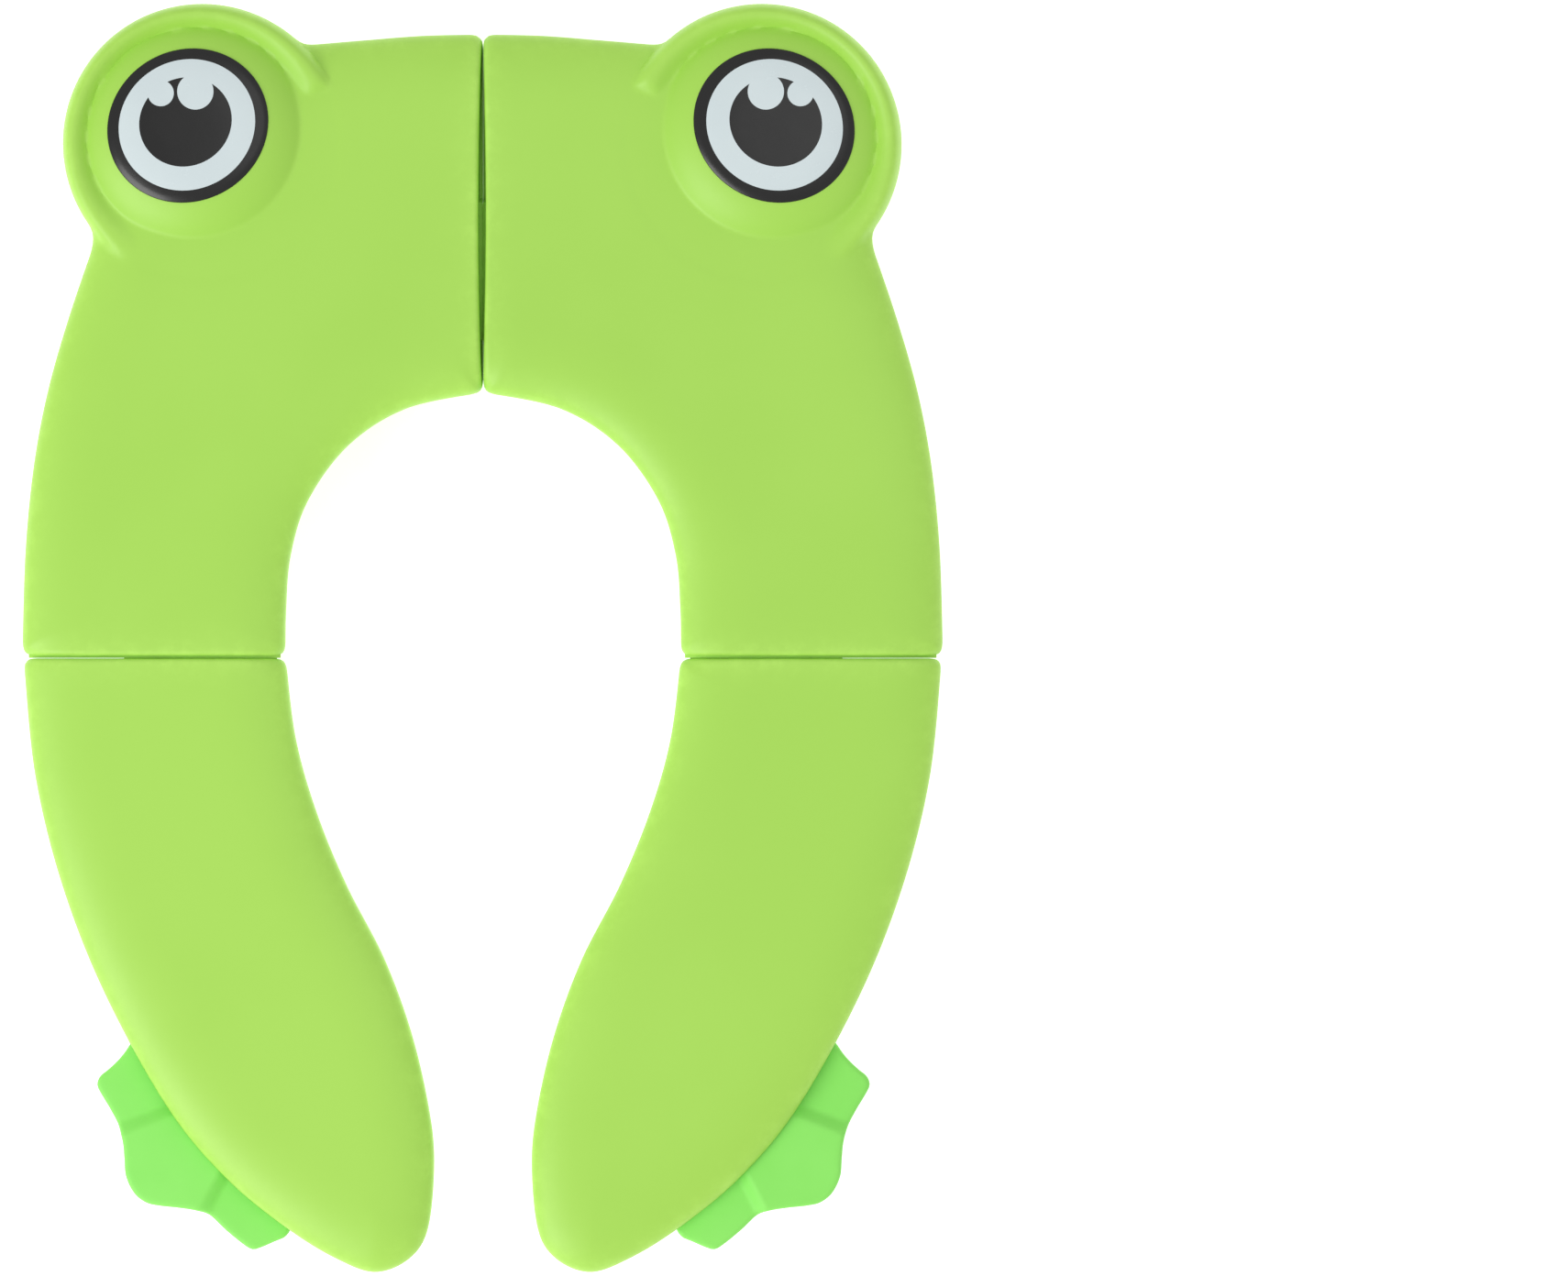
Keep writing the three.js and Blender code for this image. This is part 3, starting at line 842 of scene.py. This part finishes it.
def knuckleSection(toRear):
    turn = np.radians(np.arange(90, 361, 9))
    barrel, reach = hinge["barrel"], hinge["reach"]
    points = [(barrel * math.cos(t), barrel * math.sin(t)) for t in turn]
    points += [(reach, shell["skirtZ"] - hinge["z"]), (reach, barrel)]
    return rayPolygon([(y if toRear else -y, z) for y, z in points])


def knuckleRow(toRear):
    # every other knuckle, as one mesh
    first = 0 if toRear else 1
    start = hinge["inner"] + first * knucklePitch + hinge["gap"] / 2
    end = start + knucklePitch - hinge["gap"]
    one = extruded(knuckleSection(toRear), start, end, "x", (hinge["y"], hinge["z"]), hinge["bore"])
    pattern = makeObject("knuckle", one.verts, one.faces, [])
    count = (hinge["knuckles"] + 1 - first) // 2
    step = (2 * knucklePitch * mm, 0.0, 0.0)
    row = grown(rowTree(), Piece=pattern, Count=count, Step=step, Finish=shellGreen)
    bpy.data.objects.remove(pattern)
    return Solid().addMesh(row)


def ribs(outline, topOf, start, turns):
    # ribs that fan out under the roof, each along its own line
    verts, edges = [], []
    for turn in turns:
        along = np.arange(0, rib["longest"], rib["step"])[:, None]
        way = [math.cos(math.radians(turn)), math.sin(math.radians(turn))]
        points = np.array(start) + along * way
        points = points[outline.inside(points)]
        gap = np.minimum(outline.distance(points, "free"), outline.distance(points, "seam"))
        points = points[gap > rib["clear"]]
        roof = topOf(outline, points) - shell["wall"]
        first = len(verts)
        verts.extend(withZ(points, roof - rib["deep"] / 2 + rib["sunk"]))
        edges.extend([(i, i + 1) for i in range(first, len(verts) - 1)])
    mesh = bpy.data.meshes.new("rib lines")
    mesh.from_pydata([tuple(v) for v in np.array(verts) * mm], edges, [])
    lines = bpy.data.objects.new("rib lines", mesh)
    bpy.context.scene.collection.objects.link(lines)
    thick, deep = rib["thick"] * mm, rib["deep"] * mm
    made = grown(ribTree(), Lines=lines, Thick=thick, Deep=deep, Finish=shellGreen)
    bpy.data.objects.remove(lines)
    return Solid().addMesh(made)


def bosses(outline, topOf, places):
    made = Solid()
    for x, y in places:
        top = float(topOf(outline, np.array([[x, y]], float))[0]) - shell["wall"]
        radius, fillet = boss["radius"], boss["fillet"]
        profile = [
            (radius - 0.4, boss["bottom"]), (radius - 0.05, boss["bottom"] + 0.35),
            (radius + 0.1, top - fillet), (radius + 0.4 * fillet, top - 0.4 * fillet),
            (radius + fillet, top + 0.1), (radius + fillet, top + 0.6),
        ]
        made.join(turned(x, y, profile))
    return made


def spineLugs():
    height = shell["crownZ"] - spine["lugSunk"] - spine["z"]
    turn = np.radians(np.arange(180, 361, 9))
    low = [(spine["lugRound"] * math.cos(t), spine["lugRound"] * math.sin(t)) for t in turn]
    section = rayPolygon([*low, (spine["lugRound"], height), (-spine["lugRound"], height)])
    middle = (spine["x"], spine["z"])
    made = Solid()
    for y in (spine["front"] - hinge["gap"] - spine["lug"], spine["back"] + hinge["gap"]):
        made.join(extruded(section, y, y + spine["lug"], "y", middle, hinge["bore"]))
    return made


def knuckleNotches(x, y, bottom, numbers):
    nearHinge = np.abs(y - hinge["y"]) < hinge["notchReach"]
    for number in numbers:
        start = hinge["inner"] + number * knucklePitch - hinge["gap"]
        passes = nearHinge & (x > start) & (x < start + knucklePitch + 2 * hinge["gap"])
        bottom[passes] = hinge["notchZ"]
    return bottom


def rearBottom(points):
    x, y = points.T
    bottom = knuckleNotches(x, y, np.full(len(points), shell["skirtZ"]), (1, 3))
    room = spine["notchRoom"]
    overLink = (x < spine["notchX"]) & (y > spine["front"] - room) & (y < spine["back"] + room)
    bottom[overLink] = spine["notchZ"]
    return bottom


def frontBottom(points):
    x, y = points.T
    bottom = knuckleNotches(x, y, np.full(len(points), shell["skirtZ"]), (0, 2, 4))
    overFoot = (x > foot["slotX"]) & (y > foot["slotFront"]) & (y < foot["slotBack"])
    bottom[overFoot] = foot["slotZ"]
    return bottom


foot = {
    "bottom": 2.4,
    "toeZ": 3.9,
    "middleToeZ": 6.4,
    "round": 1.3,
    "spacing": 1.1,
    "grid": 1.0,
    "margin": 2.0,
    "underInset": 0.45,
    "underGrid": 4.0,
    "underMargin": 2.5,
    "slotZ": 6.8,  # the shell's edge is raised to here between slotFront and slotBack
    "slotX": 52.0,
    "slotFront": -178.6,
    "slotBack": -120.8,
}
footSlopes = {  # two points at the foot of each slope, and its width
    "rear": ((95.5, -140.4), (108.4, -145.3), 3.5),
    "front": ((81.7, -172.4), (76.5, -162.4), 3.5),
}
lip = {
    "from": 60.6,
    "to": 136.0,
    "root": -4.3,  # its back edge inside the rear shell, and its free edge
    "edge": -5.87,
    "row": -3.4,  # the shell's height is read along here
    "sunk": 2.2,
    "thick": 1.1,
}


def sideLip(outline, topOf):
    # closes the side seam a little below its rounded edges
    places = np.linspace(lip["from"], lip["to"], 50)
    row = np.stack([places, np.full(len(places), lip["row"])], axis=1)
    heights = topOf(outline, row) - lip["sunk"]
    root, edge, thick = lip["root"], lip["edge"], lip["thick"]
    return lofted([
        [(x, root, z), (x, edge, z), (x, edge, z - thick), (x, root, z - thick)]
        for x, z in zip(places, heights)
    ])


def buildShell(kind, plan, topOf, bottomOf, toRear, fan, pads):
    outline = Outline(plan, shell["spacing"])
    solid = shellBody(outline, topOf, bottomOf, lobeRounds() if toRear else None)
    plain = len(solid.verts)
    solid.join(knuckleRow(toRear), ribs(outline, topOf, *fan), bosses(outline, topOf, pads))
    if toRear:
        solid.join(spineLugs(), sideLip(outline, topOf))
    places = np.array(solid.verts)
    flat = places[:, :2]
    near = np.minimum(outline.distance(flat, "free"), outline.distance(flat, "seam"))
    # how strongly an edge is lightened by wear and by a painted highlight, fading inwards from the
    # outline
    wearAndEdgeHighlightFalloff = np.exp(-near / shell["rubWidth"]) * (places[:, 2] > shell["skirtZ"])
    rub = np.where(np.arange(len(places)) < plain, wearAndEdgeHighlightFalloff, 0)
    body = kind + "_*"
    bothSides(body + "_moulding", solid, [shellGreen], body, body + "_shell", "shell", rub=rub)
    print(kind, "shells:", len(solid.faces), "faces each")


# each fan of ribs has a start and the directions of its ribs
rearFan = ((0, 0), (24, 44, 64, 80))
frontFan = ((0, -20), (-20, -42, -60, -75))
buildShell("rear", rearPlan(), rearTop, rearBottom, True, rearFan, rearPads)
buildShell("front", frontPlan(), frontTop, frontBottom, False, frontFan, frontPads)


def slopeShare(points, line):
    # 0 at a line, 1 past the width of its slope to the line's right
    (x0, y0), (x1, y1), width = line
    along = unit(np.array([x1 - x0, y1 - y0]))
    away = (points[:, 0] - x0) * along[1] - (points[:, 1] - y0) * along[0]
    return np.clip(away / width, 0, 1)


def footTop(outline, points):
    high = slopeShare(points, footSlopes["rear"]) * slopeShare(points, footSlopes["front"])
    top = foot["toeZ"] + (foot["middleToeZ"] - foot["toeZ"]) * high
    return top - quarterRound(outline.distance(points, "free"), foot["round"])


def buildFeet():
    outline = Outline(footPlan(), foot["spacing"], softening=4)
    rings = (0.05, 0.15, 0.35, 0.7, 1.3)
    skirt = ((0, 0.1), (0.12, 0.03), (foot["underInset"], 0))
    low = foot["bottom"]
    bottom = np.full(len(outline.ring0), low)
    solid, upper = plate(outline, footTop, bottom, rings, foot["grid"], foot["margin"], skirt)
    closeBelow(
        solid, upper, outline, foot["underInset"], (), foot["underGrid"], foot["underMargin"],
        lambda flat: np.full(len(flat), low),
    )
    bothSides("*_webbed_foot", solid, [footMint], "front_*", "*_foot_grip", "foot")


buildFeet()

eye = {
    "tilt": -29.0,
    "ring": (87.35, 152.8, 24.45, 22.55),
    "white": (87.5, 152.95, 20.65, 19.25),
    "pupil": (87.85, 153.75, 14.0, 13.1),
    "glints": [(95.2, 162.3, 3.9, 3.9), (84.9, 162.8, 5.4, 5.4)],
    # rows inside the disc that carry the dome's curve, as (inset, points)
    "followers": [(2, 110), (6.5, 90), (9, 80), (14, 40), (18, 20), (21, 8)],
    "lift": 0.03,
    "thick": 0.35,
    "round": 0.2,
}


def oval(shape, shrink=0.0, count=160):
    x, y, long, short = shape
    turn = np.linspace(0, 2 * np.pi, count, endpoint=False)
    lean = math.radians(eye["tilt"])
    u, v = (long - shrink) * np.cos(turn), (short - shrink) * np.sin(turn)
    across = x + u * math.cos(lean) - v * math.sin(lean)
    up = y + u * math.sin(lean) + v * math.cos(lean)
    return np.stack([across, up], axis=1)


def inOval(points, shape):
    x, y, long, short = shape
    lean = math.radians(eye["tilt"])
    dx, dy = points[:, 0] - x, points[:, 1] - y
    u = dx * math.cos(lean) + dy * math.sin(lean)
    v = dy * math.cos(lean) - dx * math.sin(lean)
    return (u / long) ** 2 + (v / short) ** 2 < 1


def buildEyes():
    outer = oval(eye["ring"])
    curves = [outer, oval(eye["ring"], 0.07), oval(eye["ring"], eye["round"])]
    curves += [oval(eye["white"]), oval(eye["pupil"], count=130)]
    curves += [oval(glint, count=64) for glint in eye["glints"]]
    curves += [oval(eye["ring"], shrink, count) for shrink, count in eye["followers"]]
    points, edges = [], []
    for curve in curves:
        start = len(points)
        points.extend(curve)
        edges.extend([(start + i, start + (i + 1) % len(curve)) for i in range(len(curve))])
    rows = edges[len(outer):]
    made = delaunay_2d_cdt([Vector(p) for p in points], rows, [list(range(len(outer)))], 1, 1e-5)
    flat = np.array([list(v) for v in made[0]])
    order = {source: k for k, sources in enumerate(made[3]) for source in sources}
    fall = np.zeros(len(flat))  # how far the disc's rounded edge falls
    for first, depth in ((0, eye["round"]), (len(outer), 0.06)):
        fall[[order[first + i] for i in range(len(outer))]] = depth
    base = domeHeight(*flat.T) + eye["lift"]
    solid = Solid()
    faces = [list(face) for face in made[2]]
    solid.add(withZ(flat, base + eye["thick"] - fall), faces)
    centres = np.array([flat[face].mean(axis=0) for face in faces])
    black = inOval(centres, eye["ring"]) & ~inOval(centres, eye["white"])
    black |= inOval(centres, eye["pupil"])
    for glint in eye["glints"]:
        black &= ~inOval(centres, glint)
    loop = [order[i] for i in range(len(outer))]
    lower = solid.add(withZ(flat, base), [face[::-1] for face in faces])
    solid.faces.extend(stitch(loop, [lower[i] for i in loop]))
    index = [0 if dark else 1 for dark in black]
    index += [0] * (len(solid.faces) - len(index))
    bothSides(
        "*_eye_print", solid, [printBlack, printWhite], "rear_*", "*_eye_disc", "eye_print",
        faceMaterials=index,
    )


buildEyes()


def flatBar(corners, start, end, bevel=0.2):
    # a bar along Y from a flat section; the section shrinks a little at both ends
    section = np.array(corners, float)
    rings = []
    for y, shrink in ((start, bevel), (start + bevel, 0), (end - bevel, 0), (end, bevel)):
        part = section - np.sign(section - section.mean(axis=0)) * shrink
        rings.append(np.column_stack((part[:, 0], np.full(len(part), y), part[:, 1])))
    return lofted(rings)


def buildLink():
    made = Solid()
    x, barrel, z = spine["x"], spine["barrel"], spine["z"]
    turn = np.radians(np.arange(0, 360, 10))
    tube = [(barrel * math.cos(t), barrel * math.sin(t)) for t in turn]
    for side in (-1, 1):
        made.join(extruded(tube, spine["front"], spine["back"], "y", (side * x, z), hinge["bore"]))
    inner = x - hinge["bore"] - spine["webGap"]
    low, high = z - barrel, z + barrel
    floorTop = low + spine["floor"]
    corners = [(-inner, low), (inner, low), (inner, floorTop), (-inner, floorTop)]
    short = spine["floorShort"]
    made.join(flatBar(corners, spine["front"] + short, spine["back"] - short))
    under = high - spine["chamfer"]
    section = [(-inner, low), (inner, low), (inner, under), (x, high), (-x, high), (-inner, under)]
    start = spine["front"] + spine["rungShort"]
    first = flatBar(section, start, start + spine["rung"])
    pattern = makeObject("rung", first.verts, first.faces, [])
    span = spine["back"] - spine["front"] - spine["rung"] - 2 * spine["rungShort"]
    step = (0.0, span / (spine["rungs"] - 1) * mm, 0.0)
    row = grown(rowTree(), Piece=pattern, Count=spine["rungs"], Step=step, Finish=linkGreen)
    made.addMesh(row)
    bpy.data.objects.remove(pattern)
    shown("ladder_link", made, [linkGreen], "spine", "spine_link", "hinge")


buildLink()


def steelPin(axis, start, end, middle):
    turn = np.radians(np.arange(0, 360, 12))
    ring = [(hinge["pin"] * math.cos(t), hinge["pin"] * math.sin(t)) for t in turn]
    return extruded(ring, start, end, axis, middle, bevel=0.3)


def buildPins():
    short = hinge["pinShort"]
    side = steelPin("x", hinge["inner"] + short, hinge["outer"] - short, (hinge["y"], hinge["z"]))
    bothSides("*_side_pin", side, [steelAlongX], "rear_*", "*_side_hinge_pin", "pin")
    reach = spine["lug"] - spine["pinShort"]
    middle = steelPin("y", spine["front"] - reach, spine["back"] + reach, (spine["x"], spine["z"]))
    bothSides("*_middle_pin", middle, [steelAlongY], "rear_*", "*_spine_pin", "pin")


buildPins()

sole = {
    "radius": 8.0,
    "height": 3.0,
    "lip": 7.1,
    "well": 6.3,
    "depth": 0.6,
    "nub": 0.55,
    "field": 10.4,
    "across": 9,  # nubs across the field
}


def buildSoles():
    radius, height, well, depth = sole["radius"], sole["height"], sole["well"], sole["depth"]
    profile = [
        (0.8, height), (radius - 0.3, height), (radius, height - 0.3), (radius - 0.1, height - 1.2),
        (radius - 0.55, 0.35), (sole["lip"], 0.05), (sole["lip"] - 0.3, 0), (well + 0.2, 0.05),
        (well, depth), (0.8, depth),
    ]
    nubs = nubTree()
    for kind, places in (("rear", rearPads), ("front", frontPads)):
        for number, (x, y) in enumerate(places, 1):
            made = turned(x, y, profile, sides=56)
            values = {
                "Field": sole["field"] * mm, "Across": sole["across"], "Nub": sole["nub"] * mm,
            }
            spot = (x * mm, y * mm, depth * mm)
            made.addMesh(grown(nubs, Place=spot, Finish=soleMilky, **values))
            body = kind + "_*"
            name, node = body + "_sole_" + str(number), body + "_pad_" + str(number)
            bothSides(name, made, [soleMilky], body, node, "pad")


buildSoles()
print("pieces ready")

studio = {
    "floorZ": -43.0,
    "floorSize": 3000.0,
    "sky": (1.0, 1.0, 1.0),
    "skyStrength": 0.7,
    "keyLight": ((-1.1, -0.85, 1.15), 1.2, 16),  # place and width in metres, and power
    "fillLight": ((0.5, 0.4, 1.9), 1.4, 3),
}
view = {"place": (0.0903, 0.0001, 1.966), "lens": 150, "sensor": 36}


def buildFloor():
    # it lies low enough for the folded halves to stay above it
    half, z = studio["floorSize"] / 2, studio["floorZ"]
    corners = [(-half, -half, z), (half, -half, z), (half, half, z), (-half, half, z)]
    floor = makeObject("floor", corners, [[0, 1, 2, 3]], [paleStudioFloor()])


def softLight(name, place, size, power):
    data = bpy.data.lights.new(name, "AREA")
    data.shape = "DISK"
    data.size, data.energy = size, power
    lamp = bpy.data.objects.new(name, data)
    bpy.context.scene.collection.objects.link(lamp)
    lamp.location = place
    lamp.rotation_euler = (-Vector(place)).to_track_quat("-Z", "Y").to_euler()


def buildStudio():
    buildFloor()
    world = bpy.data.worlds.new("studio")
    world.use_nodes = True
    background = world.node_tree.nodes["Background"]
    background.inputs["Color"].default_value = (*studio["sky"], 1)
    background.inputs["Strength"].default_value = studio["skyStrength"]
    bpy.context.scene.world = world
    softLight("large soft light", *studio["keyLight"])
    softLight("overhead fill light", *studio["fillLight"])
    bpy.context.scene.view_settings.view_transform = "Standard"


def buildCamera():
    # straight above and far away, with the seat left of the middle of the frame
    data = bpy.data.cameras.new("camera")
    data.lens, data.sensor_width = view["lens"], view["sensor"]
    camera = bpy.data.objects.new("camera", data)
    camera.location = view["place"]
    bpy.context.scene.collection.objects.link(camera)
    bpy.context.scene.camera = camera


buildStudio()
buildCamera()
print("studio ready")
